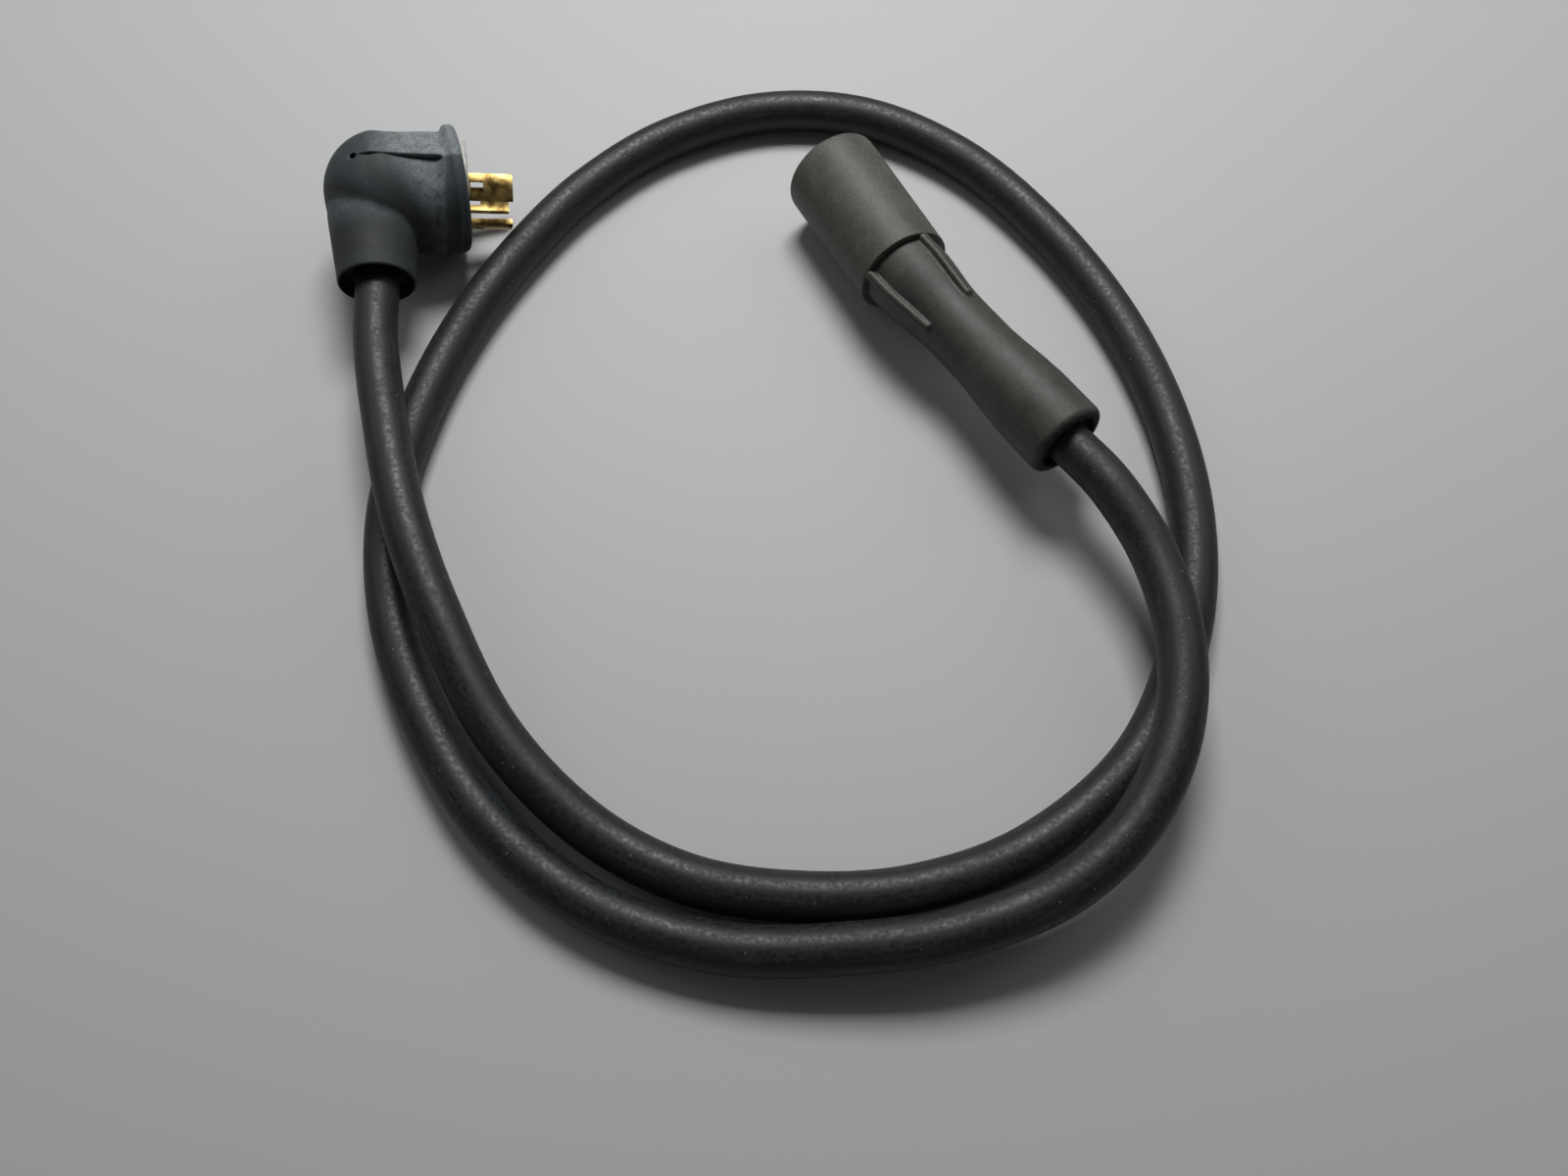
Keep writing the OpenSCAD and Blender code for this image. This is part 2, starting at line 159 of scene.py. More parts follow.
# stage, in metres: lamps are name, place, width and depth, and share of full white
CAMERA_AT = (0.0186, -0.1705, 0.2298)
CAMERA_TILT = 25.0  # degrees up from straight down
LENS = 28.575  # millimetres, on a sensor of the next width
SENSOR = 36.0
FLOOR_HALF = 3.0
LAMPS = (
    ("lamp back", (0.02, 0.33, 0.54), (0.28, 0.22), 0.77),
    ("lamp left", (-0.55, 0.3, 0.45), (0.4, 0.4), 0.05),
    ("lamp right", (0.55, 0.3, 0.45), (0.4, 0.4), 0.06),
)
ROOM_LEVEL = 0.07


def turn_matrix(turn):
    """Roll about X, then pitch about Y, then yaw about Z, in degrees."""
    a, b, c = np.radians(turn)
    rx = np.array([[1, 0, 0], [0, np.cos(a), -np.sin(a)], [0, np.sin(a), np.cos(a)]])
    ry = np.array([[np.cos(b), 0, np.sin(b)], [0, 1, 0], [-np.sin(b), 0, np.cos(b)]])
    rz = np.array([[np.cos(c), -np.sin(c), 0], [np.sin(c), np.cos(c), 0], [0, 0, 1]])
    return rz @ ry @ rx


def from_plug(points):
    """Millimetres in the plug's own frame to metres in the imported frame."""
    return (np.asarray(points, float) @ turn_matrix(PLUG_TURN).T + PLUG_AT - SHIFT) * MM


def from_nose(points):
    """Millimetres in the nose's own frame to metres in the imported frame."""
    return (np.asarray(points, float) @ turn_matrix(NOSE_TURN).T + NOSE_AT - SHIFT) * MM


def from_boot(points):
    """Millimetres in the boot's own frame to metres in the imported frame."""
    joint = from_nose([-NOSE_LEN, 0, 0])
    return np.asarray(points, float) @ turn_matrix(BOOT_TURN).T * MM + joint


# ---------------------------------------------------------------- lines and tubes


def smooth_line(points, per_span):
    """Catmull-Rom line through all the points: between b and c, with a before and d after,
    it is half of 2b + (c-a)t + (2a-5b+4c-d)t^2 + (3b-a-3c+d)t^3."""
    p = np.asarray(points, float)
    p = np.vstack([2 * p[0] - p[1], p, 2 * p[-1] - p[-2]])
    t = np.arange(per_span)[None, :, None] / per_span
    a, b, c, d = p[:-3, None], p[1:-2, None], p[2:-1, None], p[3:, None]
    line = 0.5 * (2 * b + (c - a) * t + (2 * a - 5 * b + 4 * c - d) * t**2
                  + (3 * b - a - 3 * c + d) * t**3)
    return np.vstack([line.reshape(-1, 3), p[-2]])


def tube(line, radius, sides):
    """A circle carried along a line: each ring stands square to the line and starts at its
    lowest point. Both ends are closed with a fan. Returns points, quads, triangles and uv,
    where u is the length along the line and v the length round the ring."""
    line = np.asarray(line, float)
    n = len(line)
    heading = np.gradient(line, axis=0)
    heading /= np.linalg.norm(heading, axis=1)[:, None]
    side = np.cross(heading, [0.0, 0.0, 1.0])
    side /= np.linalg.norm(side, axis=1)[:, None]
    top = np.cross(side, heading)
    angle = 2 * np.pi * np.arange(sides) / sides - np.pi / 2
    cosine, sine = np.cos(angle)[None, :, None], np.sin(angle)[None, :, None]
    rings = line[:, None] + radius * (side[:, None] * cosine + top[:, None] * sine)
    points = np.vstack([rings.reshape(-1, 3), line[0], line[-1]])
    j, i = np.meshgrid(np.arange(n - 1), np.arange(sides), indexing="ij")
    k = (i + 1) % sides
    walls = np.stack([j * sides + i, j * sides + k, (j + 1) * sides + k, (j + 1) * sides + i], -1)
    run = np.concatenate([[0], np.cumsum(np.linalg.norm(np.diff(line, axis=0), axis=1))])
    round_it = 2 * np.pi * radius / sides
    corners = ((j, i), (j, i + 1), (j + 1, i + 1), (j + 1, i))
    uv = np.stack([np.stack([run[u], v * round_it], -1) for u, v in corners], -2).reshape(-1, 2)
    i = np.arange(sides)
    k = (i + 1) % sides
    first = np.stack([np.full(sides, n * sides), k, i], -1)
    last = np.stack([np.full(sides, n * sides + 1), (n - 1) * sides + i, (n - 1) * sides + k], -1)
    caps = np.vstack([first, last])
    return points, walls.reshape(-1, 4), caps, np.vstack([uv, np.zeros((len(caps) * 3, 2))])


def cable_line(diameter):
    """Middle line of the cable in metres: out of the boss, along the route at its lifts, and
    straight into the boot."""
    lay = np.array(ROUTE, float)
    lay[:, 2] = diameter / MM * (0.5 + lay[:, 2])
    return smooth_line(np.vstack([
        from_plug([[BOSS_X, GRIP_LEN - BOSS_LEN, 0], [BOSS_X, -BOSS_LEN, 0]]),
        (lay - SHIFT) * MM,
        from_boot([[-BOOT_LEN - RUN_IN, 0, 0], [-BOOT_LEN, 0, 0], [GRIP_LEN - BOOT_LEN, 0, 0]]),
    ]), JACKET_STEPS)


def on_crimps(turn):
    """Place off the axis of a crimp that stands at a turn on the crimps' circle."""
    return -CRIMP_R * np.sin(np.radians(turn)), CRIMP_R * np.cos(np.radians(turn))


def plug_core_line(turn, end):
    """Middle line of a core in the plug: back from its crimp, round into the boss at a right
    angle, and down to its place at the jacket's end."""
    y, z = on_crimps(turn)
    ex, ez = end
    crimp_x, end_y = -12.4, GRIP_LEN - BOSS_LEN
    above = end_y + 3.5
    return smooth_line(from_plug([
        [crimp_x, y, z], [crimp_x - 2.8 + 0.6 * ex, y, z],
        [BOSS_X + ex + 0.9, 0.7 * y + 0.3 * above, (z + ez) / 2],
        [BOSS_X + ex, above, ez], [BOSS_X + ex, end_y, ez],
    ]), CORE_STEPS)


def socket_core_line(turn, end):
    """Middle line of a core in the connector: back from its crimp, drawn in through the
    spigot, and along the boot to its place at the jacket's end."""
    y, z = on_crimps(turn)
    return smooth_line(np.vstack([
        from_nose([[-21.4, y, z], [-23.4, 0.92 * y, 0.92 * z], [-29, 0.42 * y, 0.42 * z]]),
        from_boot([[-8, *end], [-21.5, *end], [GRIP_LEN - BOOT_LEN, *end]]),
    ]), CORE_STEPS)


# ---------------------------------------------------------------- solids as distances


def melt(first, second, width):
    """Union of two solids given as distances, with a fillet about as wide as the width:
    the lesser of the two, less a quarter of width (1 - gap/width)^2 where they are close."""
    near = np.clip(1 - np.abs(first - second) / width, 0, None)
    return np.minimum(first, second) - near**2 * width / 4


def carve(solid, tool, width):
    """A solid less a tool, with the edge eased as wide as the width."""
    return -melt(-solid, tool, width)


def meet(distances, ease):
    """Where several solids overlap, with the edges between them rounded over the ease: the
    distances, each raised by the ease, as the sides of a right-angled corner."""
    d = np.array(np.broadcast_arrays(*distances)) + ease
    return np.sqrt((np.maximum(d, 0)**2).sum(0)) + np.minimum(d.max(0), 0) - ease


def drum(x, radius, x0, x1, r, ease=0.02):
    """A drum about X between two faces, with rounded rims."""
    return meet([radius - r, np.maximum(x0 - x, x - x1)], ease)


def skin(field, low, high, step):
    """Closed surface where a distance function of points is zero, on a lattice of the step:
    each cell that the surface crosses gets one point, the mean of the crossings on its twelve
    edges, each crossed lattice edge one quad round it, and the points are then pulled along
    the function's slope until it is zero there. Returns points and quads."""
    sides = [np.arange(a, b + step, step) for a, b in zip(low, high)]
    count = np.array([len(side) for side in sides])
    lattice = np.stack(np.meshgrid(*sides, indexing="ij"), -1)
    value = field(lattice.reshape(-1, 3)).reshape(count)
    cells = count - 1
    total = np.zeros((*cells, 3))
    hits = np.zeros(cells)
    edges = []
    for axis in range(3):
        one = np.eye(3, dtype=int)[axis]
        first = value[tuple(slice(0, n - k) for n, k in zip(count, one))]
        second = value[tuple(slice(k, n) for n, k in zip(count, one))]
        crossed = (first < 0) != (second < 0)
        at = np.argwhere(crossed)
        share = first[crossed] / (first[crossed] - second[crossed])
        place = at + share[:, None] * one
        edges.append((axis, at, first[crossed] < 0))
        others = [k for k in range(3) if k != axis]
        for da in (0, 1):
            for db in (0, 1):
                cell = at.copy()
                cell[:, others[0]] -= da
                cell[:, others[1]] -= db
                fits = np.all((cell >= 0) & (cell < cells), axis=1)
                where = tuple(cell[fits].T)
                np.add.at(total, where, place[fits])
                np.add.at(hits, where, 1)
    used = hits > 0
    number = np.full(cells, -1)
    number[used] = np.arange(used.sum())
    points = np.asarray(low) + step * total[used] / hits[used][:, None]
    quads = []
    for axis, at, outwards in edges:
        b, c = (axis + 1) % 3, (axis + 2) % 3
        ring = []
        for db, dc in ((0, 0), (1, 0), (1, 1), (0, 1)):
            cell = at.copy()
            cell[:, b] -= db
            cell[:, c] -= dc
            ring.append(number[tuple(cell.T)])
        quad = np.stack(ring, -1)
        quads.append(np.where(outwards[:, None], quad, quad[:, ::-1]))
    h = step * 0.1
    for _ in range(4):
        slope = np.stack([field(points + h * e) - field(points - h * e) for e in np.eye(3)], -1)
        slope /= 2 * h
        steepness = np.maximum((slope**2).sum(1), 0.2)
        move = -field(points)[:, None] * slope / steepness[:, None]
        length = np.linalg.norm(move, axis=1)[:, None]
        points = points + move * np.minimum(1, 0.4 * step / np.maximum(length, 1e-9))
    return points, np.vstack(quads)


def ridges(field, points, reach):
    """How proud of its surroundings each point of a surface lies: the mean of the distance
    function over six places round the point, in shares of the reach. Edges are above zero,
    grooves below."""
    near = (field(points + k * reach * e) for e in np.eye(3) for k in (-1, 1))
    return sum(near) / (6 * reach)


def ramp(value, start, end):
    """Share of the way that a value has come from start to end, held between 0 and 1."""
    return np.clip((value - start) / (end - start), 0, 1)


# ---------------------------------------------------------------- the plug's moulding


def barrel(p):
    """Plug's barrel: a ball at the rear, and a cone round a leaning axis that narrows from it
    to the flange, its flank hollowed a little by a ring of large radius."""
    r, front_r = BARREL_REAR_D / 2, BARREL_D / 2
    lean = np.arctan((r - front_r) / -DOME_X)
    c, s = np.cos(lean), np.sin(lean)
    x = c * p[:, 0] + s * (p[:, 1] - BARREL_Y)
    y = c * (p[:, 1] - BARREL_Y) - s * p[:, 0]
    out = np.hypot(y, p[:, 2])
    wall = (out - np.interp(x, [DOME_X + r * s, BARREL_FRONT], [r * c, front_r])) * c
    cone = np.maximum(wall, np.maximum(DOME_X - x, x - BARREL_FRONT))
    ball = np.hypot(x - DOME_X, out) - r
    ring_r = (r + front_r) / 2 + WAIST_R - WAIST_SINK
    return carve(np.minimum(cone, ball), np.hypot(out - ring_r, x - WAIST_X) - WAIST_R, 0.3)


def scoops(p):
    """The two finger grips: what stands out of a second barrel, turned down about a place at
    the rear until its front is sunk by the depth, below the long edge and behind a front wall
    that leans forward past |z| = 10.4. At the rear the floor comes back up to the barrel."""
    x, y, z = p.T
    a = np.arcsin(SCOOP_DEPTH / SCOOP_REACH)
    dx, dz = x - SCOOP_X, np.abs(z) + 0.1
    floor = barrel(np.stack([
        dx * np.cos(a) - dz * np.sin(a) + SCOOP_X, y + 0.45, dx * np.sin(a) + dz * np.cos(a),
    ], -1))
    front = (x - SCOOP_FRONT - np.clip((np.abs(z) - 10.4) * 0.425, 0, 1.7)) * 0.92
    fade = np.clip(-19.2 - x, 0, 8) * 0.17
    limits = [y - SCOOP_EDGE, -13.7 - y, -26 - x, 4 - np.abs(z)]
    return np.max([*limits, meet([front, fade - floor], 1.5)], axis=0)


def plug_moulding(p):
    """Plug's body in its own frame: the barrel less the finger grips, melted with the leaning
    disc of the flange and the cone of the boss, and hollowed for the insert, the cores, the
    cable, its mouth and the pits."""
    x, y, z = p.T
    solid = carve(barrel(p), scoops(p), 0.3)
    c, s = np.cos(np.radians(FLANGE_LEAN)), np.sin(np.radians(FLANGE_LEAN))
    fx, fy = c * x + s * y - FLANGE_X, c * y - s * x - FLANGE_SHIFT
    solid = melt(solid, drum(fx, np.hypot(fy, z), -FLANGE_T, 0, FLANGE_D / 2, 0.9), 1.6)
    out = np.hypot(x - BOSS_X, z)
    cone = BOSS_D / 2 + np.interp(-y, [8, BOSS_LEN - 0.8], [0, (BOSS_END_D - BOSS_D) / 2])
    solid = melt(solid, drum(-y, out - cone, -2, BOSS_LEN, 0, 0.5), 0.7)
    deep = np.hypot(y, z)
    # a bore runs on past the face that it opens
    hollow = np.min([
        drum(x, deep, -INSERT_SEAT, 9, INSERT_D / 2 + GAP),  # seat of the insert
        drum(x, deep, -INSERT_BACK, 9, INSERT_NECK_R + GAP),  # and of its neck
        drum(x, deep, -22, -2, CHAMBER_R),  # round the crimps
        drum(-y, out, 0, BOSS_LEN, NECK_R),
        drum(-y, out, BOSS_LEN - GRIP_LEN, 40, HELD_R),
        drum(-y, out, BOSS_LEN - BOSS_MOUTH, 40, BOSS_END_D / 2 - 0.6),
        drum(np.abs(z), np.hypot(x - PIT_X, y - SCOOP_EDGE), 10.1, 13.1, PIT_R),
    ], axis=0)
    return carve(solid, hollow, SOFT)


def plug_marks(p):
    """Where the plug's rubber is rubbed, dusty or painted with sheen, and painted with shade, for
    each point of its surface. Each place is a product of ramps: off the boss's axis, off the
    barrel's axis, along and across."""
    x, y, z = p.T
    out = np.hypot(x - BOSS_X, z)
    on_boss = ramp(out, 10.4, 9.4)
    # dust lies on the upper side, strong enough there to paint the sheen of the lit top, on the
    # boss's shoulder and in front of the boss
    dust_and_sheen_on_top = (ramp(y, -0.2, 0.4) * ramp(x, -20, -12) * np.maximum(ramp(z, -8, 4), 0.3)
             * (np.hypot(y, z) > 11.6))
    shoulder = ramp(y, -14, -9) * on_boss * (y < -4)
    beside = (ramp(y, 0.2, -0.8) * ramp(x + 0.6 * y, -16, -11) * ramp(x, -3, -4)
              * ramp(out, 10.5, 11.5))
    # painted shade lies in the mouth, on the boss's end, along its border with the barrel and in
    # the hollow behind the grip
    mouth = (out < BOSS_END_D / 2 - 0.5) * ramp(y, 3.4 - BOSS_LEN, 2.9 - BOSS_LEN)
    boss_end = ramp(y, -9.5, -14.5) * on_boss
    border = ramp(out, 11.6, 9.7) * (out > 9.75) * ramp(y, -2, -4)
    behind = ramp(np.abs(x + 22 + 1.1 * y), 5, 0) * ramp(y, 0, -1) * ramp(out, 9.6, 10.6)
    return {
        "ridge": ridges(plug_moulding, p, RUB_REACH) * ramp(y, -BOSS_LEN, 2 - BOSS_LEN),
        "dust_and_sheen": dust_and_sheen_on_top + 0.3 * shoulder + 0.65 * beside,
        "painted_shade": np.maximum.reduce([mouth, 0.5 * boss_end, 0.55 * border, 0.45 * behind]),
    }


# ---------------------------------------------------------------- the connector's mouldings


def boot_moulding(p):
    """Connector's boot in its own frame: a waisted profile turned about its axis with four
    ribs melted on, cut square to the nose, with the nose's spigot, hollowed for the cores,
    the cable and its mouth."""
    x, y, z = p.T
    out = np.hypot(y, z)
    w, b, e = WAIST_D / 2, BOOT_D / 2, BOOT_END_D / 2
    stations = [-43, -38, -32, -28, -20, -16, -13, -8, -5]
    radii = [e, e - 0.3, w + 0.25, w, w, w + 0.08, w + 0.35, b - 0.35, b]
    solid = drum(x, out - np.interp(x, stations, radii), -BOOT_LEN, 4, 0, 1.5)
    crest_at = [-RIB_LEN, 0.7 - RIB_LEN, -12, -6, 2]
    top = np.interp(x, crest_at, [w + 0.6, w + 1.1, w + 1.8, b + 1.3, b + RIB_H])
    for k in range(4):
        a = np.radians(RIB_TURN + 90 * k)
        high = z * np.cos(a) - y * np.sin(a)
        wide = np.abs(y * np.cos(a) + z * np.sin(a))
        rib = meet([wide - RIB_W / 2 - 0.1, high - top, -RIB_LEN - x, x - 4], 0.75)
        solid = melt(solid, np.maximum(rib, w - 1 - high), 0.5)
    nose = p @ turn_matrix(BOOT_TURN).T @ turn_matrix(NOSE_TURN)
    ahead, far = nose[:, 0], np.hypot(nose[:, 1], nose[:, 2])
    spigot = drum(ahead, far, -1, SPIGOT_LEN, SPIGOT_R, 0.3)
    solid = np.minimum(np.maximum(solid, ahead), spigot)
    funnel = np.interp(ahead, [-3, SPIGOT_LEN + 1], [NECK_R + 0.2, SPIGOT_R - 1.2])
    hollow = np.min([
        drum(x, out, -60, 4, NECK_R),
        drum(x, out, -60, GRIP_LEN - BOOT_LEN, HELD_R),
        drum(x, out, -60, 2 - BOOT_LEN, e - 2.4),  # mouth
        drum(ahead, far - funnel, -3, 9, 0),
    ], axis=0)
    return carve(solid, hollow, SOFT)


def boot_marks(p):
    """Where the boot's rubber is rubbed and painted with shade, for each point of its surface:
    painted shade lies on its end face and, thinner, inside its mouth."""
    x, out = p[:, 0], np.hypot(p[:, 1], p[:, 2])
    e = BOOT_END_D / 2
    face = 0.7 - BOOT_LEN
    end_face = np.minimum(ramp(out, e - 0.3, e - 1.3), 0.7) * ramp(x, face, face - 1 / 3)
    mouth = (out < e - 2) * np.minimum(ramp(x, 2.4 - BOOT_LEN, 1.9 - BOOT_LEN), 0.3)
    return {
        "ridge": ridges(boot_moulding, p, RUB_REACH) * ramp(x, -BOOT_LEN, 2 - BOOT_LEN),
        "painted_shade": end_face + mouth,
    }


def lathe(profile, sides):
    """A closed profile of (x, radius) points carried round the X axis: each point's place is
    x, radius sin a, radius cos a. Returns points and quads."""
    x, r = np.asarray(profile, float).T
    n = len(x)
    a = 2 * np.pi * np.arange(sides)[:, None] / sides
    points = np.stack([np.broadcast_to(x, (sides, n)), r * np.sin(a), r * np.cos(a)], -1)
    j, i = np.meshgrid(np.arange(sides), np.arange(n), indexing="ij")
    k, m = (j + 1) % sides, (i + 1) % n
    quads = np.stack([j * n + i, j * n + m, k * n + m, k * n + i], -1).reshape(-1, 4)
    return points.reshape(-1, 3), quads


def eased(corners, radii, steps=6):
    """A closed outline whose corners are cut back by their radii and bent round: between the
    two cuts it is (1-t)^2 of the first, 2t(1-t) of the corner and t^2 of the last."""
    c = np.asarray(corners, float)
    back = np.roll(c, 1, 0) - c
    on = np.roll(c, -1, 0) - c
    r = np.asarray(radii, float)[:, None]
    first = (c + back / np.linalg.norm(back, axis=1)[:, None] * r)[:, None]
    last = (c + on / np.linalg.norm(on, axis=1)[:, None] * r)[:, None]
    t = np.linspace(0, 1, steps)[None, :, None]
    return ((1 - t)**2 * first + 2 * t * (1 - t) * c[:, None] + t**2 * last).reshape(-1, 2)


def make_piece(name, node, points, quads, triangles=None, uv=None, marks=None):
    """Puts arrays into a mesh whose object sits at the origin, rides on the body and stands
    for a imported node. Marks are values for each point that the finishes read by name."""
    sizes = np.full(len(quads), 4)
    corners = np.asarray(quads).ravel()
    if triangles is not None:
        sizes = np.concatenate([sizes, np.full(len(triangles), 3)])
        corners = np.concatenate([corners, np.asarray(triangles).ravel()])
    mesh = bpy.data.meshes.new(name)
    mesh.vertices.add(len(points))
    mesh.vertices.foreach_set("co", np.asarray(points, np.float32).ravel())
    mesh.loops.add(len(corners))
    mesh.loops.foreach_set("vertex_index", corners.astype(np.int32))
    mesh.polygons.add(len(sizes))
    mesh.polygons.foreach_set("loop_start", (np.cumsum(sizes) - sizes).astype(np.int32))
    mesh.update(calc_edges=True)
    if uv is not None:
        layer = mesh.uv_layers.new(name="lay")
        layer.data.foreach_set("uv", np.asarray(uv, np.float32).ravel())
    for key, values in (marks or {}).items():
        attribute = mesh.attributes.new(key, "FLOAT", "POINT")
        attribute.data.foreach_set("value", np.asarray(values, np.float32))
    mesh.polygons.foreach_set("use_smooth", np.full(len(sizes), True))
    mesh.validate()
    piece = bpy.data.objects.new(name, mesh)
    bpy.context.scene.collection.objects.link(piece)
    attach(piece, BODY)
    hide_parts(node)
    return piece


# ---------------------------------------------------------------- finishes


def colour(code):
    """An sRGB hex value as linear red, green, blue."""
    c = np.array([int(code[i:i + 2], 16) for i in (1, 3, 5)]) / 255
    return tuple(np.where(c <= 0.04045, c / 12.92, ((c + 0.055) / 1.055) ** 2.4).tolist())


def rgba(code):
    """An sRGB hex value as linear red, green, blue and full alpha."""
    return (*colour(code), 1.0)


def repeats(size_mm):
    """Pattern scale whose features are about size_mm across."""
    return 1 / (size_mm * MM)


def new_material(name):
    """A new material and its empty tree."""
    material = bpy.data.materials.new(name)
    material.use_nodes = True
    material.node_tree.nodes.clear()
    return material, material.node_tree


def put(tree, kind, inputs, output=0, **settings):
    """Adds one node with its settings. Inputs are values, or the sockets that feed them.
    Returns the output asked for."""
    node = tree.nodes.new(kind)
    for key, value in settings.items():
        setattr(node, key, value)
    for key, value in inputs.items():
        if isinstance(value, bpy.types.NodeSocket):
            tree.links.new(value, node.inputs[key])
        else:
            node.inputs[key].default_value = value
    return node.outputs[output] if node.outputs else None


def clad(piece, material):
    """Gives a piece one material."""
    piece.data.materials.clear()
    piece.data.materials.append(material)


def extruded_rubber(base):
    """Extruded rubber jacket: close to black with a satin skin, so its light is a soft grey
    streak along the top, broken by handling marks, drawn scuffs and specks of dust."""
    material, tree = new_material("rubber, extruded")
    place = put(tree, "ShaderNodeTexCoord", {}, "Object")
    # hands leave patches 7 mm across, the die a mottle of 0.9 mm, and dragging scuffs 1.2 mm
    # wide and eleven times as long; the skin's pores of 0.1 mm are drawn 0.5 mm wide to show
    lay = put(tree, "ShaderNodeMapping",
              {"Vector": put(tree, "ShaderNodeUVMap", {}, uv_map="lay"), "Scale": (0.09, 1, 1)})
    patches, mottle, scuffs, pores = (
        put(tree, "ShaderNodeTexNoise",
            {"Vector": where, "Scale": repeats(size), "Detail": detail})
        for where, size, detail in ((place, 7, 4.0), (place, 0.9, 3.0), (lay, 1.2, 3.0),
                                    (place, 0.5, 4.0)))
    # specks of dust: a dot in the middle of every second cell, the cells 2 mm apart
    near = put(tree, "ShaderNodeTexVoronoi", {"Vector": place, "Scale": repeats(2.0)}, "Distance")
    dot = put(tree, "ShaderNodeMath", {0: near, 1: 0.06}, operation="LESS_THAN")
    chance = put(tree, "ShaderNodeSeparateColor", {0: near.node.outputs["Color"]})
    chosen = put(tree, "ShaderNodeMath", {0: chance, 1: 0.5}, operation="GREATER_THAN")
    speck = put(tree, "ShaderNodeMath", {0: dot, 1: chosen}, operation="MULTIPLY")
    grey = put(tree, "ShaderNodeMapRange", {"Value": mottle, "From Min": 0.35, "From Max": 0.7})
    scuff = put(tree, "ShaderNodeMapRange",
                {"Value": scuffs, "From Min": 0.54, "From Max": 0.74, "To Max": 0.28})
    film = (*base, 1)
    for share, tone in ((grey, "#1a1f22"), (scuff, "#40454b"), (speck, "#8d8d86")):
        film = put(tree, "ShaderNodeMix", {0: share, 6: film, 7: rgba(tone)}, 2,
                   data_type="RGBA")
    # 0.42 where the die polished it to 0.66 where hands dulled it
    dull = put(tree, "ShaderNodeMapRange", {
        "Value": patches, "From Min": 0.35, "From Max": 0.65, "To Min": 0.5, "To Max": 0.56})
    fine = put(tree, "ShaderNodeMapRange", {
        "Value": mottle, "From Min": 0.35, "From Max": 0.65, "To Min": -0.08, "To Max": 0.1})
    rough = put(tree, "ShaderNodeMath", {0: dull, 1: fine}, operation="ADD")
    bump = put(tree, "ShaderNodeBump", {"Height": pores, "Strength": 0.45, "Distance": 0.04 * MM})
    shader = put(tree, "ShaderNodeBsdfPrincipled",
                 {"Base Color": film, "Roughness": rough, "Normal": bump, "IOR": 1.5})
    put(tree, "ShaderNodeOutputMaterial", {"Surface": shader})
    return material


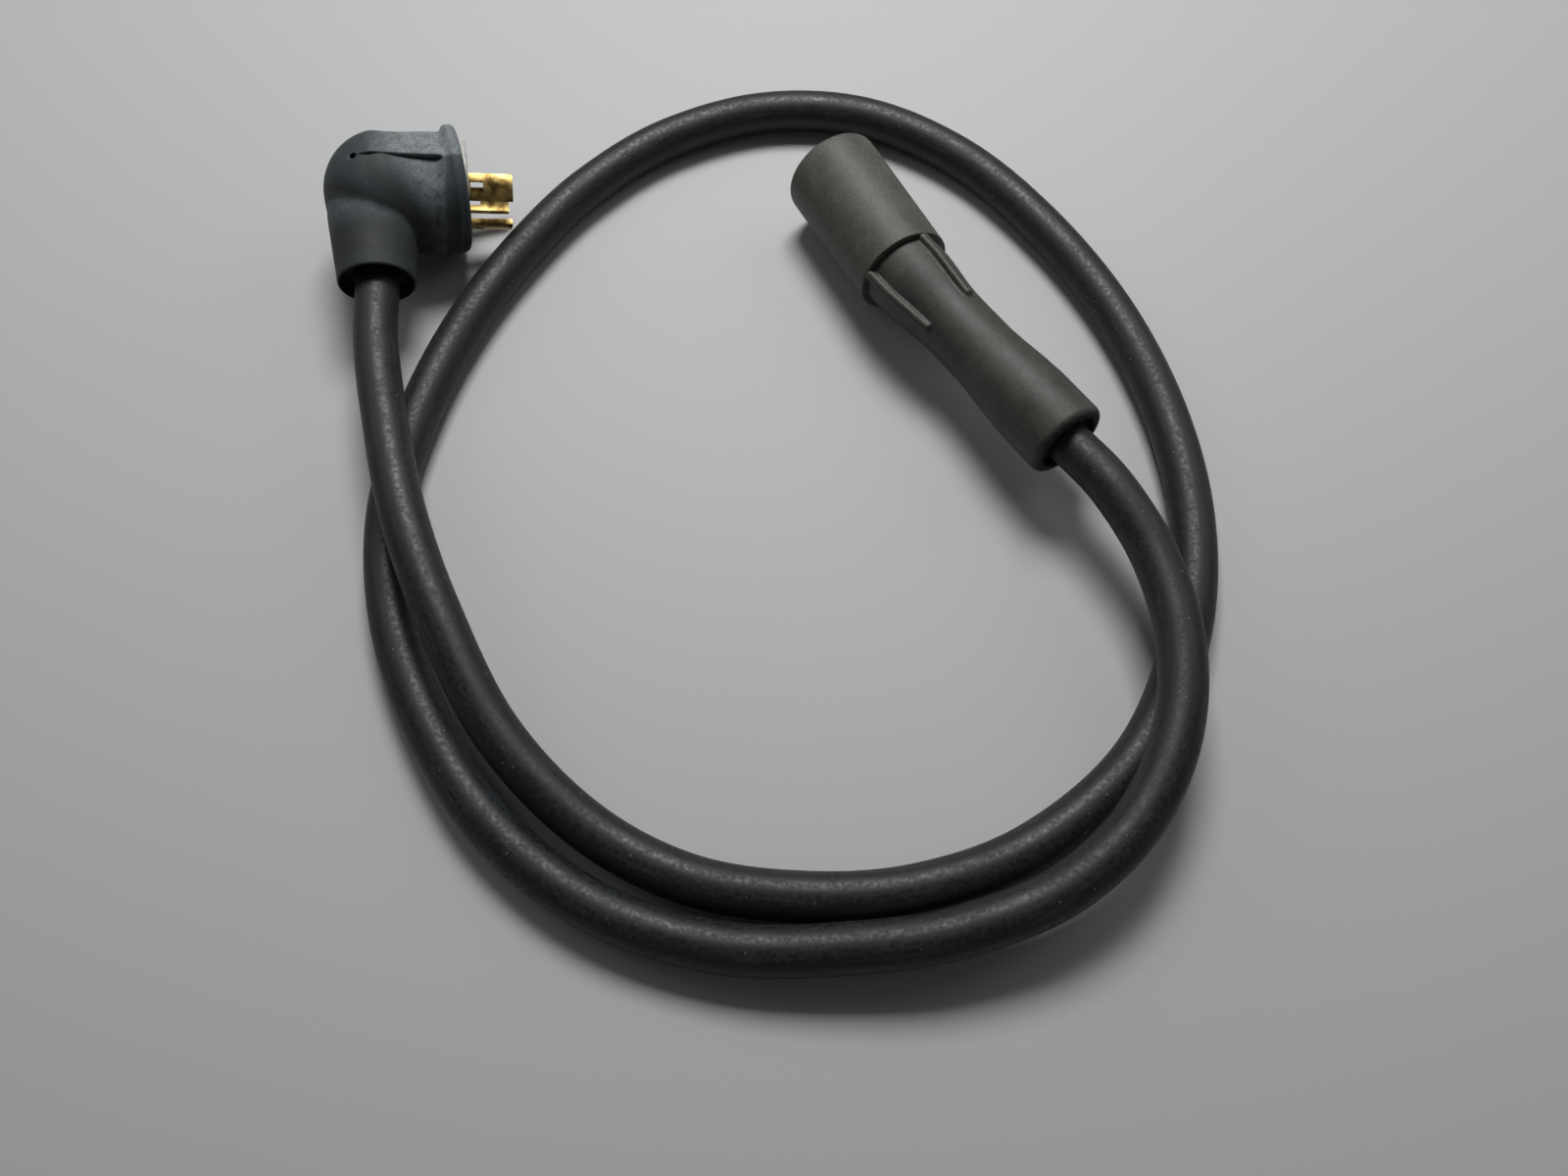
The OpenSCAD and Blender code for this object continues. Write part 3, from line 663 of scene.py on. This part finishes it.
def moulded_rubber(name, base, roughness, dust_and_sheen_tone=None):
    """Moulded rubber: matt, with a fine skin from the mould, paler where an edge is rubbed,
    darkened with painted shade in its grooves and wherever the shade mark lies, and paler
    where the dust and sheen mark lies."""
    material, tree = new_material(name)
    place = put(tree, "ShaderNodeTexCoord", {}, "Object")
    ridge = put(tree, "ShaderNodeAttribute", {}, "Fac", attribute_name="ridge")
    painted_shade = put(tree, "ShaderNodeAttribute", {}, "Fac", attribute_name="painted_shade")
    # the rubber clouds over 5 mm; the mould's grain of about 0.2 mm is drawn 0.55 mm wide
    # to show
    clouds = put(tree, "ShaderNodeTexNoise",
                 {"Vector": place, "Scale": repeats(5), "Detail": 5.0})
    grain = put(tree, "ShaderNodeTexNoise",
                {"Vector": place, "Scale": repeats(0.55), "Detail": 4.0})
    # darkest and palest cloud, rubbed edge, and painted shade for the grooves, as shares of the
    # base colour
    low, high, worn, groove_shade = ((*(share * np.array(base)).tolist(), 1.0)
                              for share in (0.8, 1.2, 2.6, 0.2))
    cloudy = put(tree, "ShaderNodeMapRange", {"Value": clouds, "From Min": 0.35, "From Max": 0.65})
    layers = [(cloudy, high)]
    if dust_and_sheen_tone:
        # dust, with painted sheen where the plug's top is lit, lies in flecks of 2.4 mm
        dust_and_sheen = put(tree, "ShaderNodeAttribute", {}, "Fac", attribute_name="dust_and_sheen")
        flecks = put(tree, "ShaderNodeTexNoise",
                     {"Vector": place, "Scale": repeats(2.4), "Detail": 4.0})
        patchy = put(tree, "ShaderNodeMapRange", {
            "Value": flecks, "From Min": 0.35, "From Max": 0.62, "To Min": 0.55, "To Max": 1.1})
        dust_and_sheen_share = put(tree, "ShaderNodeMath", {0: dust_and_sheen, 1: patchy}, operation="MULTIPLY")
        layers.append((dust_and_sheen_share, rgba(dust_and_sheen_tone)))
    edge = put(tree, "ShaderNodeMapRange",
               {"Value": ridge, "From Min": 0.04, "From Max": 0.3, "To Max": 0.6})
    groove_shade_share = put(tree, "ShaderNodeMapRange",
                 {"Value": ridge, "From Min": -0.04, "From Max": -0.25, "To Max": 0.8})
    grained = put(tree, "ShaderNodeMapRange",
                  {"Value": grain, "From Min": 0.42, "From Max": 0.64, "To Max": 0.45})
    # painted shade: grooves go toward a fifth of the base colour, the shade mark toward near black
    layers += [(edge, worn), (groove_shade_share, groove_shade), (painted_shade, rgba("#0b0b0b")), (grained, rgba("#1d1e1e"))]
    film = low
    for share, tone in layers:
        film = put(tree, "ShaderNodeMix", {0: share, 6: film, 7: tone}, 2, data_type="RGBA")
    matt = put(tree, "ShaderNodeMapRange",
               {"Value": clouds, "From Min": 0.3, "From Max": 0.7,
                "To Min": roughness - 0.05, "To Max": roughness + 0.07})
    # where the painted shade lies the rubber is also made rougher, to dull its reflections
    rough_in_shade = put(tree, "ShaderNodeMapRange",
                {"Value": painted_shade, "From Min": 0.5, "From Max": 1, "To Max": 0.5})
    rough = put(tree, "ShaderNodeMath", {0: matt, 1: rough_in_shade}, operation="ADD")
    bump = put(tree, "ShaderNodeBump", {"Height": grain, "Strength": 0.7, "Distance": 0.06 * MM})
    shader = put(tree, "ShaderNodeBsdfPrincipled",
                 {"Base Color": film, "Roughness": rough, "Normal": bump, "IOR": 1.5})
    put(tree, "ShaderNodeOutputMaterial", {"Surface": shader})
    return material


def simple_finish(name, low, high, roughness, metallic=0.0, size_mm=1.5):
    """Two tones of one colour in soft patches of size_mm, over a skin as uneven as they are."""
    material, tree = new_material(name)
    place = put(tree, "ShaderNodeTexCoord", {}, "Object")
    patches = put(tree, "ShaderNodeTexNoise",
                  {"Vector": place, "Scale": repeats(size_mm), "Detail": 3.0})
    share = put(tree, "ShaderNodeMapRange", {"Value": patches, "From Min": 0.35, "From Max": 0.65})
    film = put(tree, "ShaderNodeMix", {0: share, 6: rgba(low), 7: rgba(high)}, 2,
               data_type="RGBA")
    bump = put(tree, "ShaderNodeBump", {"Height": patches, "Strength": 0.4, "Distance": 0.01 * MM})
    shader = put(tree, "ShaderNodeBsdfPrincipled",
                 {"Base Color": film, "Roughness": roughness, "Metallic": metallic, "Normal": bump})
    put(tree, "ShaderNodeOutputMaterial", {"Surface": shader})
    return material


def painted_board(base):
    """Painted board, satin: plain and pale, so that the shadows on it read."""
    material, tree = new_material("painted board, satin")
    shader = put(tree, "ShaderNodeBsdfPrincipled", {"Base Color": (*base, 1), "Roughness": 0.6})
    put(tree, "ShaderNodeOutputMaterial", {"Surface": shader})
    return material


# ---------------------------------------------------------------- settings


class CableSettings(bpy.types.PropertyGroup):
    """The cable between the plug and the connector."""

    diameter: bpy.props.FloatProperty(
        name="Diameter", description="Outer diameter of the jacket", default=CABLE_D * MM,
        unit="LENGTH")
    jacket_colour: bpy.props.FloatVectorProperty(
        name="Jacket", description="Colour of the rubber jacket", default=colour("#0f1112"),
        subtype="COLOR")


class MouldingSettings(bpy.types.PropertyGroup):
    """The rubber mouldings on the two ends."""

    plug_colour: bpy.props.FloatVectorProperty(
        name="Plug", description="Colour of the plug's rubber", default=colour("#32393c"),
        subtype="COLOR")
    nose_colour: bpy.props.FloatVectorProperty(
        name="Nose", description="Colour of the connector's nose", default=colour("#51514a"),
        subtype="COLOR")
    boot_colour: bpy.props.FloatVectorProperty(
        name="Boot", description="Colour of the connector's boot", default=colour("#3d3e38"),
        subtype="COLOR")


class StageSettings(bpy.types.PropertyGroup):
    """The floor and the light."""

    floor_colour: bpy.props.FloatVectorProperty(
        name="Floor", description="Colour of the floor", default=colour("#b8b9b9"),
        subtype="COLOR")
    light_level: bpy.props.FloatProperty(
        name="Light", description="Level of all the lamps, 1 shows a colour as it is written",
        default=1.0)


# ---------------------------------------------------------------- pieces


class LEAD_OT_stage(bpy.types.Operator):
    """Puts up the camera, the floor and the lamps."""

    bl_idname = "lead.stage"
    bl_label = "Stage"

    def execute(self, context):
        s = context.scene.lead_stage
        link = context.scene.collection.objects.link
        camera = bpy.data.objects.new("camera", bpy.data.cameras.new("camera"))
        camera.data.lens = LENS
        camera.data.sensor_width = SENSOR
        camera.data.clip_start, camera.data.clip_end = 0.01, 20
        camera.location = CAMERA_AT
        camera.rotation_euler = (np.radians(CAMERA_TILT), 0, 0)
        link(camera)
        context.scene.camera = camera
        mesh = bpy.data.meshes.new("floor")
        h = FLOOR_HALF
        mesh.from_pydata([(-h, -h, 0), (h, -h, 0), (h, h, 0), (-h, h, 0)], [], [(0, 1, 2, 3)])
        floor = bpy.data.objects.new("floor", mesh)
        link(floor)
        clad(floor, painted_board(s.floor_colour))
        for name, place, size, share in LAMPS:
            lamp = bpy.data.lights.new(name, "AREA")
            lamp.shape, lamp.size, lamp.size_y = "RECTANGLE", size[0], size[1]
            # power that lights a white floor at the origin to the lamp's share of white
            distance, height = np.linalg.norm(place), place[2]
            lamp.energy = float(np.pi**2 * distance**3 / height * share * s.light_level)
            stand = bpy.data.objects.new(name, lamp)
            stand.location = place
            stand.rotation_euler = (-Vector(place)).to_track_quat("-Z", "Y").to_euler()
            link(stand)
        world = bpy.data.worlds.new("soft room")
        context.scene.world = world
        world.use_nodes = True
        room = world.node_tree.nodes["Background"].inputs
        room["Color"].default_value = (1, 1, 1, 1)
        room["Strength"].default_value = ROOM_LEVEL * s.light_level
        context.scene.view_settings.view_transform = "Standard"
        return {"FINISHED"}


class LEAD_OT_cable(bpy.types.Operator):
    """Sweeps the rubber jacket along its route."""

    bl_idname = "lead.cable"
    bl_label = "Cable"

    def execute(self, context):
        s = context.scene.lead_cable
        d = s.diameter
        line = cable_line(d)
        points, walls, caps, uv = tube(line, d / 2, JACKET_SIDES)
        piece = make_piece("jacket", "cable_jacket", points, walls, caps, uv)
        clad(piece, extruded_rubber(s.jacket_colour))
        return {"FINISHED"}


class LEAD_OT_plug(bpy.types.Operator):
    """Moulds the plug's body round its insert."""

    bl_idname = "lead.plug"
    bl_label = "Plug"

    def execute(self, context):
        points, quads = skin(plug_moulding, *PLUG_BOX, LATTICE)
        piece = make_piece("plug_moulding", "plug_body", from_plug(points), quads,
                           marks=plug_marks(points))
        base = context.scene.lead_mouldings.plug_colour
        # the pale tone is dust, and on the lit top painted sheen
        clad(piece, moulded_rubber("rubber, moulded, slate", base, 0.68, dust_and_sheen_tone="#7f8689"))
        return {"FINISHED"}


class LEAD_OT_connector(bpy.types.Operator):
    """Moulds the connector's ribbed boot and turns its nose."""

    bl_idname = "lead.connector"
    bl_label = "Connector"

    def execute(self, context):
        s = context.scene.lead_mouldings
        points, quads = skin(boot_moulding, *BOOT_BOX, LATTICE)
        boot = make_piece("boot_moulding", "connector_boot", from_boot(points), quads,
                          marks=boot_marks(points))
        clad(boot, moulded_rubber("rubber, moulded, olive", s.boot_colour, 0.55))
        # the nose's outline: its wall outside, then the bores for the carrier and the spigot
        r, carrier_bore, spigot_bore = NOSE_D / 2, CARRIER_R + GAP, SPIGOT_R + GAP
        corners = [(-NOSE_LEN, spigot_bore), (-NOSE_LEN, r - 0.5), (-4, r), (0, r),
                   (0, carrier_bore), (-CARRIER_BACK, carrier_bore), (-CARRIER_BACK, spigot_bore)]
        outline = eased(corners, (0.1, 0.4, 1, 0.9, 0.3, 0.1, 0.1))
        points, quads = lathe(outline, NOSE_SIDES)
        nose = make_piece("nose_sleeve", "connector_nose", from_nose(points), quads)
        clad(nose, moulded_rubber("rubber, moulded, khaki", s.nose_colour, 0.55))
        return {"FINISHED"}


class LEAD_OT_cores(bpy.types.Operator):
    """Draws the six insulated cores, three in the plug and three in the connector."""

    bl_idname = "lead.cores"
    bl_label = "Cores"

    def execute(self, context):
        for name, code, plug_turn, plug_end, socket_turn, socket_end in CORES:
            # insulation, extruded: one even colour with a slight gloss
            finish = simple_finish("insulation, extruded, " + name, code, code, 0.4)
            for end, line in (("plug", plug_core_line(plug_turn, plug_end)),
                              ("socket", socket_core_line(socket_turn, socket_end))):
                points, walls, caps, _ = tube(line, CORE_D / 2 * MM, CORE_SIDES)
                core = make_piece(f"{end}_{name}_insulation", f"{end}_{name}_core",
                                  points, walls, caps)
                clad(core, finish)
        return {"FINISHED"}


class LEAD_OT_finish_nodes(bpy.types.Operator):
    """Gives the carried-over solids their finishes."""

    bl_idname = "lead.finish_nodes"
    bl_label = "Carried-over solids"

    def execute(self, context):
        # brass, stamped: yellow metal, brown where no socket has wiped the tarnish off, in
        # patches of 2.5 mm
        brass = simple_finish("brass, stamped", "#5c4b28", "#c8aa6a", 0.4, 1.0, 2.5)
        # nylon, moulded: grey and slightly glossy
        grey_nylon = simple_finish("nylon, moulded", "#4a4b49", "#565754", 0.45)
        # nylon, moulded, pale: carries the blades, greyed by handling in patches of 2 mm
        pale_nylon = simple_finish("nylon, moulded, pale", "#a3a29b", "#bbbab3", 0.45, 0.0, 2.0)
        # copper, stranded: bare wire, seen only from inside
        copper = simple_finish("copper, stranded", "#8f5a3c", "#c08058", 0.35, 1.0)
        for name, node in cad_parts.items():
            if name.endswith(("blade", "contact")):
                clad(node, brass)
            elif name.endswith("strands"):
                clad(node, copper)
            elif name == "plug_face_insert":
                clad(node, pale_nylon)
            elif not name.endswith("core"):
                clad(node, grey_nylon)
        return {"FINISHED"}


class LEAD_PT_panel(bpy.types.Panel):
    """Lists the pieces and their settings."""

    bl_label = "Lead"
    bl_idname = "LEAD_PT_panel"
    bl_space_type = "VIEW_3D"
    bl_region_type = "UI"
    bl_category = "Lead"

    def draw(self, context):
        for operator in OPERATORS:
            self.layout.operator(operator.bl_idname)
        for name, group in SETTINGS.items():
            for key in group.__annotations__:
                self.layout.prop(getattr(context.scene, name), key)


SETTINGS = {
    "lead_cable": CableSettings,
    "lead_mouldings": MouldingSettings,
    "lead_stage": StageSettings,
}
OPERATORS = (
    LEAD_OT_stage, LEAD_OT_cable, LEAD_OT_plug, LEAD_OT_connector, LEAD_OT_cores,
    LEAD_OT_finish_nodes,
)


def register():
    for name, group in SETTINGS.items():
        bpy.utils.register_class(group)
        setattr(bpy.types.Scene, name, bpy.props.PointerProperty(type=group))
    for cls in (*OPERATORS, LEAD_PT_panel):
        bpy.utils.register_class(cls)


def unregister():
    for cls in (LEAD_PT_panel, *OPERATORS[::-1]):
        bpy.utils.unregister_class(cls)
    for name, group in SETTINGS.items():
        delattr(bpy.types.Scene, name)
        bpy.utils.unregister_class(group)


def main():
    register()
    for operator in OPERATORS:
        group, name = operator.bl_idname.split(".")
        getattr(getattr(bpy.ops, group), name)()


if __name__ == "__main__":
    main()
